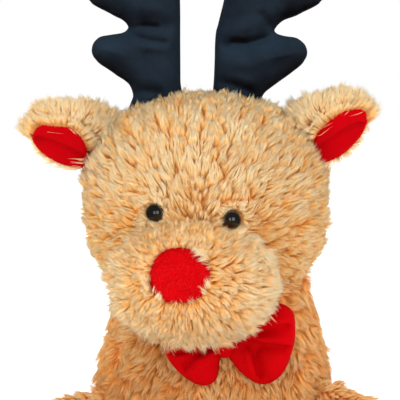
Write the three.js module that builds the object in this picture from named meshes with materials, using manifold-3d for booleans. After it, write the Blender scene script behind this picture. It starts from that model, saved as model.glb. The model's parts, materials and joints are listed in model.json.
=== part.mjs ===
// A sitting plush reindeer with a bow tie, in millimetres. +Z is up and the deer faces -Y.
// The origin is the middle of the flat seat under its body. Left and right are as the viewer sees them.
import * as THREE from "three";
import { mergeVertices } from "three/addons/utils/BufferGeometryUtils.js";
import Module from "manifold-3d";

const wasm = await Module();
wasm.setup();

// Cloth and sewing
const coverWall = 2.5;
const seamGap = 0.3;
const cutOverrun = 60;
const faceSides = 32;
const coreSides = 24;

// Body: a pear with a flat seat, cut off level at the neck
const bodyHeight = 134;
const bodyHalfWidth = 74;
const bodyHalfDepth = 62;
const bodyRings = 13;
const bodyCoreRings = 9;
// Share of the height, and share of the half-width there
const bodyProfileShares = [
  [0, 0.72],
  [0.04, 0.85],
  [0.12, 0.95],
  [0.32, 1],
  [0.48, 0.975],
  [0.62, 0.93],
  [0.76, 0.865],
  [0.88, 0.81],
  [1, 0.75],
];

// Head: a squarish ball that is open where the neck seam closes it
const headRise = 43;
const headAcross = -5;
const headForward = 5;
const headHalfWidth = 73;
const headHalfDepth = 62;
const headAbove = 68;
const headBelow = 60;
const headSquareness = 2.4;
const headRings = 16;
const headCoreRings = 11;

// Muzzle: a wide pad that is sewn to the front of the head and hangs over the chest
const muzzleHalfWidth = 48;
const muzzleHalfHeight = 34.5;
const muzzleHalfLength = 38;
const muzzleAcross = -7.5;
const muzzleDrop = 39;
const muzzleStandOut = 1;
const muzzleTurnDegrees = 13;
const muzzleSquareness = 2.2;
const muzzleRings = 12;
const muzzleSides = 24;

// Nose: a round patch of napped cloth on the front of the muzzle
const nosePatchRadius = 17;
const nosePatchThickness = 2;
const noseUpAngleDegrees = 16;
const noseSides = 20;

// Safety eyes: a dome on a ridged stem, held from inside by a lock washer
const eyeRadius = 6;
const eyeDomeHeight = 4.8;
const eyeFlangeThickness = 0.8;
const eyeStemRadius = 1.6;
const eyeStemLength = 12;
const eyeRidgeRadius = 1.95;
const eyeRidges = 2;
const eyeRidgePitch = 2.4;
const eyeSides = 16;
const washerRadius = 7.5;
const washerThickness = 1.4;
const washerHubRadius = 3.6;
const washerHubHeight = 2.4;
const washerSlack = 1.6;
const washerSides = 16;
const eyePlaces = {
  left: { across: -29.5, up: 1.9 },
  right: { across: 15, up: -1.6 },
};

// Ears: a furry leaf with a scoop in its front, and a lining that fits the scoop
const earLength = 63;
const earHalfHeight = 19;
const earHalfDepth = 9;
const earRootInset = 12;
const earRings = 10;
const earSides = 18;
const earTurnForwardDegrees = 12;
const scoopHalfLength = 22.5;
const scoopHalfHeight = 13;
const scoopDepth = 7;
const scoopAlong = 40;
const scoopDrop = 7.5;
const scoopRiseDegrees = 12;
const liningThickness = 1.6;
const scoopRings = 8;
const scoopSides = 16;
const earPlaces = {
  left: { side: -1, across: -59, up: 41, riseDegrees: 8 },
  right: { side: 1, across: 52, up: 39, riseDegrees: 22 },
};

// Antlers: each is a stuffed stem with two tines that point out and up from its outer edge
const antlerHeight = 91;
const antlerRootDepth = 22;
const antlerHalfDepth = 10;
const antlerStemSquareness = 4;
const antlerTineSquareness = 2.8;
const antlerRings = 10;
const antlerSides = 14;
const antlerTines = {
  lower: { height: 20, reach: 39.5, halfWidth: 14, riseDegrees: 18 },
  upper: { height: 53, reach: 56, halfWidth: 15.5, riseDegrees: 28 },
};
const antlerPlaces = {
  left: { side: -1, stemHalfWidth: 15.7, across: -30.7, back: 5, leanDegrees: 0.5 },
  right: { side: 1, stemHalfWidth: 16.6, across: 18.6, back: 5, leanDegrees: 6 },
};

// Bow tie: two stuffed loops with pleats that run to a knot
const bowAcross = 6;
const bowBelowNeck = 33.5;
const bowStandOut = 7;
const bowTiltDegrees = 2;
const bowLoops = {
  left: { side: -1, length: 29, halfHeight: 18, droopDegrees: 24 },
  right: { side: 1, length: 35, halfHeight: 22.5, droopDegrees: 2 },
};
const bowLoopHalfDepth = 7;
const bowFullestShare = 0.55;
const bowRoundedShare = 0.4;
const bowNeckHalfHeight = 8;
const bowNeckHalfDepth = 4;
const bowPleatDepthShare = 0.2;
const bowPleats = 3;
const bowRings = 10;
const bowSides = 24;
const knotHalfWidth = 7;
const knotHalfHeight = 8;
const knotHalfDepth = 7;
const knotRings = 8;
const knotSides = 14;

// Limbs: each swells from a flat seam that works as a cloth hinge
const limbSides = 18;
const limbTaperRings = 5;
const limbTipRings = 5;
const limbRootRings = 3;
const armReach = 72;
const armSeamHalfWidth = 15;
const armSeamHalfThickness = 6;
const armHalfWidth = 18;
const armHalfThickness = 17;
const armTaper = 27;
const armHoofLength = 26;
const armForwardDegrees = 24;
const armPlaces = {
  left: { side: -1, seamHeight: 58, dropDegrees: 36 },
  right: { side: 1, seamHeight: 63, dropDegrees: 46 },
};
const legSeamHeight = 25;
const legReach = 88;
const legSeamHalfWidth = 20;
const legSeamHalfThickness = 7;
const legHalfWidth = 26;
const legHalfThickness = 25.5;
const legTaper = 30;
const legSplayDegrees = 26;
const legHoofLength = 30;
const footRise = 8;
const footSwell = 4;

// Tail: a short tuft low on the back
const tailLength = 34;
const tailHalfWidth = 15;
const tailHalfDepth = 10;
const tailHeight = 34;
const tailRiseDegrees = 38;
const tailRings = 8;
const tailSides = 14;

// Pellet bag: the weight that keeps the deer upright
const bagHalfWidth = 44;
const bagHalfDepth = 36;
const bagHalfHeight = 12;
const bagRings = 8;
const bagSides = 20;
const bagSquareness = 2.3;

const neckHeight = bodyHeight;
const headCentre = new THREE.Vector3(headAcross, -headForward, neckHeight + headRise);
const degrees = THREE.MathUtils.degToRad;

const colours = {
  fur: { color: "#e3b277", roughness: 0.95 },
  redVelour: { color: "#cf0a12", roughness: 0.85 },
  navyVelour: { color: "#20242c", roughness: 0.85 },
  eyeBlack: { color: "#0c0907", roughness: 0.12 },
  washerWhite: { color: "#e6e6e2", roughness: 0.5 },
  filling: { color: "#f4f2ec", roughness: 1 },
  bagCloth: { color: "#d8cdb8", roughness: 0.9 },
};
const materials = Object.fromEntries(
  Object.entries(colours).map(([name, look]) => [
    name,
    new THREE.MeshStandardMaterial({ ...look, metalness: 0 }),
  ]),
);

const toy = new THREE.Group();
toy.name = "plush_reindeer";

// Makes a solid from a closed geometry
function solidOf(geometry) {
  const bare = geometry.index ? geometry.toNonIndexed() : geometry.clone();
  bare.deleteAttribute("normal");
  bare.deleteAttribute("uv");
  const merged = mergeVertices(bare);
  return new wasm.Manifold(
    new wasm.Mesh({
      numProp: 3,
      vertProperties: merged.attributes.position.array,
      triVerts: new Uint32Array(merged.index.array),
    }),
  );
}

// Adds a solid to the toy as a named mesh
function addNode(name, solid, material) {
  const { numProp, numVert, vertProperties, triVerts } = solid.getMesh();
  const points = new Float32Array(numVert * 3);
  for (let i = 0; i < numVert; i++) {
    points.set(vertProperties.subarray(i * numProp, i * numProp + 3), i * 3);
  }
  const geometry = new THREE.BufferGeometry();
  geometry.setAttribute("position", new THREE.BufferAttribute(points, 3));
  geometry.setIndex(new THREE.BufferAttribute(triVerts, 1));
  const mesh = new THREE.Mesh(geometry, material);
  mesh.name = name;
  toy.add(mesh);
}

// A closed surface through rings of points, with a flat fan over each end ring
function ringGeometry(rings) {
  const around = rings[0].length;
  const middles = [rings[0], rings.at(-1)].map((ring) =>
    ring.reduce((sum, point) => sum.add(point), new THREE.Vector3()).divideScalar(around),
  );
  const corners = [];
  rings.slice(1).forEach((ring, i) => {
    const before = rings[i];
    for (let k = 0; k < around; k++) {
      const next = (k + 1) % around;
      corners.push(before[k], before[next], ring[next], before[k], ring[next], ring[k]);
    }
  });
  for (let k = 0; k < around; k++) {
    const next = (k + 1) % around;
    corners.push(middles[0], rings[0][next], rings[0][k]);
    corners.push(middles[1], rings.at(-1)[k], rings.at(-1)[next]);
  }
  return new THREE.BufferGeometry().setFromPoints(corners);
}

// One ring: across and over are unit vectors, and the halves are its reach along them
function ringAt(centre, across, over, halfAcross, halfOver, sides) {
  return Array.from({ length: sides }, (_, k) => {
    const angle = (2 * Math.PI * k) / sides;
    return centre
      .clone()
      .addScaledVector(across, halfAcross * Math.cos(angle))
      .addScaledVector(over, halfOver * Math.sin(angle));
  });
}

// Height shares of a rounded form's rings, closer together at its ends
function roundShares(count) {
  return Array.from({ length: count }, (_, i) => -Math.cos((Math.PI * (i + 0.5)) / count));
}

// A stuffed ball, squarer than an ellipsoid when squareness is over 2.
// Its axes are along, across and over.
function padSolid(pad) {
  const { centre, along, across, over, front, back, squareness, grow = 0 } = pad;
  const halfAcross = pad.halfAcross + grow;
  const halfOver = pad.halfOver + grow;
  const fullness = (share) => (1 - Math.abs(share) ** squareness) ** (1 / squareness);
  return solidOf(
    ringGeometry(
      roundShares(pad.rings).map((share) => {
        const reach = (share < 0 ? back : front) + grow;
        const middle = centre.clone().addScaledVector(along, share * reach);
        const full = fullness(share);
        return ringAt(middle, across, over, full * halfAcross, full * halfOver, pad.sides);
      }),
    ),
  );
}

// A block that reaches far past the toy on one side of a plane
function halfSpace(point, outward) {
  const side = 2 * (cutOverrun + neckHeight + headAbove + antlerHeight);
  const block = new THREE.BoxGeometry(side, side, side);
  block.translate(0, 0, side / 2);
  block.applyQuaternion(new THREE.Quaternion().setFromUnitVectors(new THREE.Vector3(0, 0, 1), outward));
  block.translate(point.x, point.y, point.z);
  return solidOf(block);
}

const worldX = new THREE.Vector3(1, 0, 0);
const worldY = new THREE.Vector3(0, 1, 0);
const worldZ = new THREE.Vector3(0, 0, 1);

// Body and head forms. Each is made again, larger or smaller, to cut its neighbours or to line itself.
const bodyProfile = new THREE.SplineCurve(
  bodyProfileShares.map(([height, width]) => new THREE.Vector2(width, height)),
);

function bodyForm(grow, rings = bodyRings, sides = faceSides) {
  return solidOf(
    ringGeometry(
      Array.from({ length: rings + 1 }, (_, i) => {
        const { x: width, y: height } = bodyProfile.getPoint(i / rings);
        const centre = new THREE.Vector3(0, 0, height * (bodyHeight + 2 * grow) - grow);
        const halfWidth = width * bodyHalfWidth + grow;
        return ringAt(centre, worldX, worldY, halfWidth, width * bodyHalfDepth + grow, sides);
      }),
    ),
  );
}

// Half the body's width at a height
function bodyHalfWidthAt(height) {
  const shares = bodyProfileShares;
  const share = height / bodyHeight;
  const above = shares.findIndex(([at]) => at >= share);
  const [lowAt, lowWidth] = shares[above - 1];
  const [highAt, highWidth] = shares[above];
  const between = (share - lowAt) / (highAt - lowAt);
  return bodyHalfWidth * (lowWidth + between * (highWidth - lowWidth));
}

// The point at a height of the body's side where its face looks the way that outward points
function onBodySide(height, outward) {
  const halfWidth = bodyHalfWidthAt(height);
  const halfDepth = halfWidth * (bodyHalfDepth / bodyHalfWidth);
  const reach = Math.hypot(outward.x * halfWidth, outward.y * halfDepth);
  return new THREE.Vector3(
    (outward.x * halfWidth ** 2) / reach,
    (outward.y * halfDepth ** 2) / reach,
    height,
  );
}

function headForm(grow, rings = headRings, sides = faceSides) {
  return padSolid({
    centre: headCentre,
    along: worldZ,
    across: worldX,
    over: worldY,
    front: headAbove,
    back: headBelow,
    halfAcross: headHalfWidth,
    halfOver: headHalfDepth,
    squareness: headSquareness,
    rings,
    sides,
    grow,
  });
}

const neckSeam = new THREE.Vector3(0, 0, neckHeight);
const headSeam = neckSeam.clone().addScaledVector(worldZ, seamGap / 2);
const belowNeck = halfSpace(headSeam, worldZ.clone().negate());
const aboveNeck = halfSpace(neckSeam.clone().addScaledVector(worldZ, -seamGap / 2), worldZ);
const headSolid = headForm(0).subtract(belowNeck);
const headCutter = headForm(seamGap);
const bodyCutter = bodyForm(seamGap);

// The point on the head's face at a place across and up from its middle, and the way out of it
function onHeadFace(across, up) {
  const power = headSquareness;
  const upReach = up < 0 ? headBelow : headAbove;
  const level = (1 - Math.abs(up / upReach) ** power) ** (1 / power);
  const forward = headHalfDepth * Math.sqrt(level ** 2 - (across / headHalfWidth) ** 2);
  const point = headCentre.clone().add(new THREE.Vector3(across, -forward, up));
  const outward = new THREE.Vector3(
    across / headHalfWidth ** 2,
    -forward / headHalfDepth ** 2,
    up / upReach ** 2,
  ).normalize();
  return { point, outward };
}

// Safety eyes. Each is turned from its lathe's axis to the way out of the head.
const eyeDomeSteps = 5;
function eyeProfile() {
  const dome = Array.from({ length: eyeDomeSteps + 1 }, (_, i) => {
    const angle = (Math.PI / 2) * (i / eyeDomeSteps);
    return [eyeRadius * Math.sin(angle), eyeFlangeThickness + eyeDomeHeight * Math.cos(angle)];
  });
  const stem = [
    [eyeRadius, 0],
    [eyeStemRadius, 0],
  ];
  for (let i = 1; i <= eyeRidges; i++) {
    const low = -i * eyeRidgePitch;
    stem.push([eyeStemRadius, low], [eyeRidgeRadius, low], [eyeStemRadius, low - eyeRidgePitch / 2]);
  }
  stem.push([eyeStemRadius, -eyeStemLength], [0, -eyeStemLength]);
  return [...dome, ...stem].map(([radius, height]) => new THREE.Vector2(radius, height));
}

// A lathed solid with its axis on the way out of the head, lifted off the face by lift
function turnedOnHead(profile, sides, { point, outward }, lift) {
  const lathe = new THREE.LatheGeometry(profile.toReversed(), sides);
  lathe.applyQuaternion(new THREE.Quaternion().setFromUnitVectors(worldY, outward));
  const seat = point.clone().addScaledVector(outward, lift);
  lathe.translate(seat.x, seat.y, seat.z);
  return solidOf(lathe);
}

function ringProfile(inner, outer, hub, low, high, hubLow) {
  return [
    [inner, high],
    [outer, high],
    [outer, low],
    [hub, low],
    [hub, hubLow],
    [inner, hubLow],
    [inner, high],
  ].map(([radius, height]) => new THREE.Vector2(radius, height));
}

function discProfile(radius, low, high) {
  return [
    [0, high],
    [radius, high],
    [radius, low],
    [0, low],
  ].map(([across, height]) => new THREE.Vector2(across, height));
}

const washerTop = -coverWall - washerSlack;
const washerLow = washerTop - washerThickness;
const washerHubLow = washerLow - washerHubHeight;
let headCover = headSolid.subtract(headForm(-coverWall, headCoreRings, coreSides));
let headFilling = headForm(-coverWall - seamGap, headCoreRings, coreSides).subtract(belowNeck);
for (const [side, { across, up }] of Object.entries(eyePlaces)) {
  const place = onHeadFace(across, up);
  const washer = ringProfile(
    eyeRidgeRadius + seamGap,
    washerRadius,
    washerHubRadius,
    washerLow,
    washerTop,
    washerHubLow,
  );
  addNode(`${side}_eye`, turnedOnHead(eyeProfile(), eyeSides, place, seamGap), materials.eyeBlack);
  addNode(`${side}_eye_washer`, turnedOnHead(washer, washerSides, place, 0), materials.washerWhite);
  const stemHole = discProfile(eyeRidgeRadius + seamGap, -eyeStemLength - seamGap, eyeRadius);
  const washerPocket = discProfile(washerRadius + seamGap, -eyeStemLength - seamGap, 0);
  headCover = headCover.subtract(turnedOnHead(stemHole, washerSides, place, 0));
  headFilling = headFilling.subtract(turnedOnHead(washerPocket, washerSides, place, 0));
}
addNode("head_cover", headCover, materials.fur);
addNode("head_filling", headFilling, materials.filling);

// Body cover, its filling, and the pellet bag in the bottom of the filling
function bagForm(grow, lowered = 0) {
  return padSolid({
    centre: new THREE.Vector3(0, 0, coverWall + seamGap + bagHalfHeight - lowered),
    along: worldZ,
    across: worldX,
    over: worldY,
    front: bagHalfHeight,
    back: bagHalfHeight,
    halfAcross: bagHalfWidth,
    halfOver: bagHalfDepth,
    squareness: bagSquareness,
    rings: bagRings,
    sides: bagSides,
    grow,
  });
}

const bodyCavity = bodyForm(-coverWall, bodyCoreRings, coreSides).add(
  solidOf(
    new THREE.CylinderGeometry(1, 1, cutOverrun, coreSides)
      .rotateX(Math.PI / 2)
      .scale(
        bodyHalfWidth * bodyProfileShares.at(-1)[1] - coverWall,
        bodyHalfDepth * bodyProfileShares.at(-1)[1] - coverWall,
        1,
      )
      .translate(0, 0, bodyHeight + cutOverrun / 2 - 2 * coverWall),
  ),
);
addNode("body_cover", bodyForm(0).subtract(bodyCavity).subtract(aboveNeck), materials.fur);
addNode(
  "body_filling",
  bodyForm(-coverWall - seamGap, bodyCoreRings, coreSides)
    .subtract(bagForm(seamGap))
    .subtract(bagForm(seamGap, bagHalfHeight)),
  materials.filling,
);
addNode("pellet_bag", bagForm(0), materials.bagCloth);

// Muzzle and nose patch
const muzzleTurn = degrees(muzzleTurnDegrees);
const muzzleAhead = new THREE.Vector3(-Math.sin(muzzleTurn), -Math.cos(muzzleTurn), 0);
const muzzleSide = new THREE.Vector3(Math.cos(muzzleTurn), -Math.sin(muzzleTurn), 0);
const muzzleCentre = headCentre
  .clone()
  .add(new THREE.Vector3(muzzleAcross, -(headHalfDepth + muzzleStandOut), -muzzleDrop));

function muzzleForm(grow, rings = muzzleRings, sides = muzzleSides) {
  return padSolid({
    centre: muzzleCentre,
    along: muzzleAhead,
    across: muzzleSide,
    over: worldZ,
    front: muzzleHalfLength,
    back: muzzleHalfLength,
    halfAcross: muzzleHalfWidth,
    halfOver: muzzleHalfHeight,
    squareness: muzzleSquareness,
    rings,
    sides,
    grow,
  });
}
addNode("muzzle", muzzleForm(0).subtract(headCutter).subtract(bodyCutter), materials.fur);

const noseUp = degrees(noseUpAngleDegrees);
const noseAhead = muzzleAhead
  .clone()
  .multiplyScalar(Math.cos(noseUp))
  .addScaledVector(worldZ, Math.sin(noseUp));
const noseCore = new THREE.CylinderGeometry(nosePatchRadius, nosePatchRadius, cutOverrun, noseSides)
  .translate(0, cutOverrun / 2, 0)
  .applyQuaternion(new THREE.Quaternion().setFromUnitVectors(worldY, noseAhead))
  .translate(muzzleCentre.x, muzzleCentre.y, muzzleCentre.z);
addNode(
  "nose_patch",
  muzzleForm(seamGap + nosePatchThickness).subtract(muzzleForm(seamGap)).intersect(solidOf(noseCore)),
  materials.redVelour,
);

// Ears. The leaf, its scoop and the lining share one frame: along the ear, up it and to its front.
for (const [name, { side, across, up, riseDegrees }] of Object.entries(earPlaces)) {
  const rise = degrees(riseDegrees);
  const turn = degrees(earTurnForwardDegrees);
  const flat = new THREE.Vector3(side * Math.cos(turn), -Math.sin(turn), 0);
  const along = flat.clone().multiplyScalar(Math.cos(rise)).addScaledVector(worldZ, Math.sin(rise));
  const upward = worldZ.clone().multiplyScalar(Math.cos(rise)).addScaledVector(flat, -Math.sin(rise));
  const ahead = new THREE.Vector3().crossVectors(along, upward).multiplyScalar(side);
  const seamPoint = headCentre.clone().add(new THREE.Vector3(across, 0, up));
  const root = seamPoint.addScaledVector(along, -earRootInset);
  const leaf = padSolid({
    centre: root.clone().addScaledVector(along, earLength / 2),
    along,
    across: upward,
    over: new THREE.Vector3().crossVectors(along, upward),
    front: earLength / 2,
    back: earLength / 2,
    halfAcross: earHalfHeight,
    halfOver: earHalfDepth,
    squareness: headSquareness,
    rings: earRings,
    sides: earSides,
  });
  const turnScoop = new THREE.Quaternion().setFromAxisAngle(ahead, side * degrees(scoopRiseDegrees));
  const scoopOut = along.clone().applyQuaternion(turnScoop);
  const scoopUp = upward.clone().applyQuaternion(turnScoop);
  const scoop = (grow) =>
    padSolid({
      centre: root
        .clone()
        .addScaledVector(along, scoopAlong)
        .addScaledVector(upward, -scoopDrop)
        .addScaledVector(ahead, earHalfDepth),
      along: scoopOut,
      across: scoopUp,
      over: new THREE.Vector3().crossVectors(scoopOut, scoopUp),
      front: scoopHalfLength,
      back: scoopHalfLength,
      halfAcross: scoopHalfHeight,
      halfOver: scoopDepth + earHalfDepth / 2,
      squareness: 2,
      rings: scoopRings,
      sides: scoopSides,
      grow,
    });
  const lining = scoop(-seamGap).subtract(scoop(-seamGap - liningThickness));
  addNode(`${name}_ear`, leaf.subtract(scoop(0)).subtract(headCutter), materials.fur);
  addNode(`${name}_ear_lining`, lining.intersect(leaf).subtract(headCutter), materials.redVelour);
}

// Antlers. Each is leaned outward about its root.
const antlerLength = antlerRootDepth + antlerHeight;
for (const [name, place] of Object.entries(antlerPlaces)) {
  const { side, stemHalfWidth, across, back, leanDegrees } = place;
  const root = headCentre.clone().add(new THREE.Vector3(across, back, headAbove - antlerRootDepth));
  const branch = (height, riseDegrees, backReach, frontReach, halfWidth, squareness) => {
    const angle = degrees(riseDegrees - leanDegrees);
    const along = new THREE.Vector3(side * Math.cos(angle), 0, Math.sin(angle));
    const lean = degrees(leanDegrees);
    const stem = new THREE.Vector3(side * Math.sin(lean), 0, Math.cos(lean));
    return padSolid({
      centre: root.clone().addScaledVector(stem, height),
      along,
      across: new THREE.Vector3().crossVectors(worldY, along),
      over: worldY,
      front: frontReach,
      back: backReach,
      halfAcross: halfWidth,
      halfOver: antlerHalfDepth,
      squareness,
      rings: antlerRings,
      sides: antlerSides,
    });
  };
  const half = antlerLength / 2;
  let antler = branch(half, 90, half, half, stemHalfWidth, antlerStemSquareness);
  for (const { height, reach, halfWidth, riseDegrees } of Object.values(antlerTines)) {
    const tine = branch(
      antlerRootDepth + height,
      riseDegrees,
      stemHalfWidth,
      reach,
      halfWidth,
      antlerTineSquareness,
    );
    antler = antler.add(tine);
  }
  addNode(`${name}_antler`, antler.subtract(headCutter), materials.navyVelour);
}

// Bow tie
const bowTilt = degrees(bowTiltDegrees);
const bowCentre = onBodySide(neckHeight - bowBelowNeck, worldY.clone().negate());
bowCentre.add(new THREE.Vector3(bowAcross, -bowStandOut, 0));
const bowUp = new THREE.Vector3(-Math.sin(bowTilt), 0, Math.cos(bowTilt));
const bowOut = new THREE.Vector3(Math.cos(bowTilt), 0, Math.sin(bowTilt));
const bowClear = muzzleForm(seamGap);

function bowLoop({ side, length, halfHeight, droopDegrees }) {
  const droop = degrees(droopDegrees);
  const [level, fall] = [Math.cos(droop), Math.sin(droop)];
  const out = bowOut.clone().multiplyScalar(side * level).addScaledVector(bowUp, -fall);
  const up = bowUp.clone().multiplyScalar(level).addScaledVector(bowOut, side * fall);
  const shares = [0, ...roundShares(bowRings).map((share) => (1 + share) / 2)];
  const rings = shares.map((share) => {
    const swell = Math.sin((Math.PI / 2) * Math.min(1, share / bowFullestShare));
    const pastFull = Math.max(0, (share + bowRoundedShare - 1) / bowRoundedShare);
    const end = Math.sqrt(1 - pastFull ** 2);
    const high = (bowNeckHalfHeight + (halfHeight - bowNeckHalfHeight) * swell) * end;
    const deep = (bowNeckHalfDepth + (bowLoopHalfDepth - bowNeckHalfDepth) * swell) * end;
    const centre = bowCentre.clone().addScaledVector(out, knotHalfWidth - seamGap + share * length);
    return Array.from({ length: bowSides }, (_, k) => {
      const angle = (2 * Math.PI * k) / bowSides;
      const fold = (1 - Math.cos(2 * bowPleats * angle)) / 2;
      const pleat = 1 - bowPleatDepthShare * (1 - share) * fold;
      return centre
        .clone()
        .addScaledVector(up, high * Math.cos(angle))
        .addScaledVector(worldY, -side * deep * pleat * Math.sin(angle));
    });
  });
  return solidOf(ringGeometry(rings));
}

function knotForm(grow) {
  return padSolid({
    centre: bowCentre.clone().addScaledVector(worldY, -seamGap),
    along: bowUp,
    across: bowOut,
    over: worldY,
    front: knotHalfHeight,
    back: knotHalfHeight,
    halfAcross: knotHalfWidth,
    halfOver: knotHalfDepth,
    squareness: headSquareness,
    rings: knotRings,
    sides: knotSides,
    grow,
  });
}
const knotCutter = knotForm(seamGap);
for (const [name, loop] of Object.entries(bowLoops)) {
  const form = bowLoop(loop).subtract(knotCutter).subtract(bodyCutter).subtract(bowClear);
  addNode(`bow_${name}_loop`, form, materials.redVelour);
}
addNode("bow_knot", knotForm(0).subtract(bodyCutter).subtract(bowClear), materials.redVelour);

// A limb that points along +X in its own frame, with its seam's hinge line on Y through the origin.
// Stations hold how far along they are, half the width, half the thickness and the middle's lift.
function limbStations(limb) {
  const { reach, seamHalfWidth, seamHalfThickness, halfWidth, halfThickness } = limb;
  const { taper, rise, swell } = limb;
  const stations = [];
  const tip = halfThickness + swell;
  for (let i = 0; i < limbRootRings; i++) {
    const angle = (Math.PI / 2) * (1 - (i + 0.5) / limbRootRings);
    stations.push([
      -seamHalfThickness * Math.sin(angle),
      seamHalfWidth * Math.sqrt(Math.cos(angle)),
      seamHalfThickness * Math.cos(angle),
      0,
    ]);
  }
  for (let i = 0; i <= limbTaperRings; i++) {
    const share = i / limbTaperRings;
    const ease = Math.sin((Math.PI / 2) * share);
    stations.push([
      share * taper,
      seamHalfWidth + (halfWidth - seamHalfWidth) * ease,
      seamHalfThickness + (halfThickness - seamHalfThickness) * ease,
      0,
    ]);
  }
  const middle = (taper + reach - tip) / 2;
  stations.push([middle, halfWidth, halfThickness + swell / 3, rise / 3]);
  for (let i = 0; i < limbTipRings; i++) {
    const angle = (Math.PI / 2) * ((i + 0.5) / limbTipRings);
    const round = Math.sqrt(Math.cos(angle));
    stations.push([
      reach - tip + tip * Math.sin(angle),
      (halfWidth + swell / 2) * round,
      tip * Math.cos(angle),
      rise,
    ]);
  }
  return stations;
}

// Places the limb's frame at its seam, cuts the hoof off at its own seam, and adds both
function addLimb(name, limb, hinge, along, over, hoofLength) {
  const across = new THREE.Vector3().crossVectors(over, along);
  const rings = limbStations(limb).map(([at, halfWidth, halfThickness, lift]) =>
    ringAt(
      hinge.clone().addScaledVector(along, at).addScaledVector(over, lift),
      across,
      over,
      halfWidth,
      halfThickness,
      limbSides,
    ),
  );
  const underFloor = halfSpace(new THREE.Vector3(), worldZ.clone().negate());
  const form = solidOf(ringGeometry(rings)).subtract(underFloor);
  const seam = hinge.clone().addScaledVector(along, limb.reach - hoofLength);
  const pastSeam = halfSpace(seam.clone().addScaledVector(along, -seamGap / 2), along);
  const beforeSeam = halfSpace(seam.clone().addScaledVector(along, seamGap / 2), along.clone().negate());
  addNode(name, form.subtract(pastSeam), materials.fur);
  addNode(`${name}_hoof`, form.subtract(beforeSeam), materials.navyVelour);
}

const arm = {
  reach: armReach,
  seamHalfWidth: armSeamHalfWidth,
  seamHalfThickness: armSeamHalfThickness,
  halfWidth: armHalfWidth,
  halfThickness: armHalfThickness,
  taper: armTaper,
  rise: 0,
  swell: 0,
};
for (const [name, { side, seamHeight, dropDegrees }] of Object.entries(armPlaces)) {
  const drop = degrees(dropDegrees);
  const forward = degrees(armForwardDegrees);
  const flat = new THREE.Vector3(side * Math.cos(forward), -Math.sin(forward), 0);
  const along = flat.clone().multiplyScalar(Math.cos(drop)).addScaledVector(worldZ, -Math.sin(drop));
  const over = worldZ.clone().multiplyScalar(Math.cos(drop)).addScaledVector(flat, Math.sin(drop));
  const hinge = onBodySide(seamHeight, flat).addScaledVector(flat, armSeamHalfThickness + seamGap);
  addLimb(`${name}_arm`, arm, hinge, along, over, armHoofLength);
}

const leg = {
  reach: legReach,
  seamHalfWidth: legSeamHalfWidth,
  seamHalfThickness: legSeamHalfThickness,
  halfWidth: legHalfWidth,
  halfThickness: legHalfThickness,
  taper: legTaper,
  rise: footRise,
  swell: footSwell,
};
const legSplay = degrees(legSplayDegrees);
for (const [name, side] of [
  ["left", -1],
  ["right", 1],
]) {
  const along = new THREE.Vector3(side * Math.sin(legSplay), -Math.cos(legSplay), 0);
  const hinge = onBodySide(legSeamHeight, along).addScaledVector(along, legSeamHalfThickness + seamGap);
  addLimb(`${name}_leg`, leg, hinge, along, worldZ, legHoofLength);
}

// Tail
const tailRise = degrees(tailRiseDegrees);
const tailOut = new THREE.Vector3(0, Math.cos(tailRise), Math.sin(tailRise));
const tailUp = new THREE.Vector3(0, -Math.sin(tailRise), Math.cos(tailRise));
const tailRoot = onBodySide(tailHeight, worldY);
const tailForm = padSolid({
  centre: tailRoot.clone().addScaledVector(tailOut, tailLength / 4),
  along: tailOut,
  across: worldX,
  over: tailUp.clone().negate(),
  front: (tailLength * 3) / 4,
  back: tailLength / 2,
  halfAcross: tailHalfWidth,
  halfOver: tailHalfDepth,
  squareness: 2,
  rings: tailRings,
  sides: tailSides,
});
addNode("tail", tailForm.subtract(bodyCutter), materials.fur);

export default toy;
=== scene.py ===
import json
import math

import bmesh
import bpy
import numpy as np
from mathutils import Matrix, Vector
from mathutils.bvhtree import BVHTree
from mathutils.geometry import delaunay_2d_cdt
from mathutils.kdtree import KDTree


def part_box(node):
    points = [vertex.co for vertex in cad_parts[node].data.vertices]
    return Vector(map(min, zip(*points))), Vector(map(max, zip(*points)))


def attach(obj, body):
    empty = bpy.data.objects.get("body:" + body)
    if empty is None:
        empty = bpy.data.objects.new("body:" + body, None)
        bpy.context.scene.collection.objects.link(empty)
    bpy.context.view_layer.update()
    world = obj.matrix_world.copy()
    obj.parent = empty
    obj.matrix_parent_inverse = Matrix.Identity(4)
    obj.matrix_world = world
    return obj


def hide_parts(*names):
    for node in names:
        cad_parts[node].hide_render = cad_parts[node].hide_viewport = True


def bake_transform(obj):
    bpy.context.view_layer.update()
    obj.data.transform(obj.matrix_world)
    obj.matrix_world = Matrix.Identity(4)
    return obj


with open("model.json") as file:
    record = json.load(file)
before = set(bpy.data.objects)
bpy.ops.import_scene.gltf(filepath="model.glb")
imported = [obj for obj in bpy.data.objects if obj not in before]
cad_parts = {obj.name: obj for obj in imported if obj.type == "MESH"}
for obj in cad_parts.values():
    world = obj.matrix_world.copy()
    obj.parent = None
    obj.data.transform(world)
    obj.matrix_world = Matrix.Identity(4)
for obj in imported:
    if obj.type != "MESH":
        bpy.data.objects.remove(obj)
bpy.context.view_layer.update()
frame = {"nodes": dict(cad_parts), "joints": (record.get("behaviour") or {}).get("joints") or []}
nodes = frame["nodes"]

mm = 0.001
SIDES = {"left": -1, "right": 1}

# Camera: where it aims, how far off it stands, how high it looks from and how much it sees there
AIM = Vector((-8.4, -30.0, 183.0)) * mm
CAMERA_DISTANCE = 1300 * mm
CAMERA_ELEVATION = math.radians(6)
FRAME_WIDTH = 240 * mm
SENSOR_WIDTH = 36

# Covers under the pile: how deep below the solids they lie, their seams, and the grids that they are made on
COVER_DEPTH = 3.0 * mm
EAR_COVER_DEPTH = 1.6 * mm
FILLING_DEPTH = 7.0 * mm
SEAM_REACH = 7.0 * mm
SEAM_SEAT = 1.2 * mm
COVER_GRID = 2.4 * mm
FINE_GRID = 1.5 * mm
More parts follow.
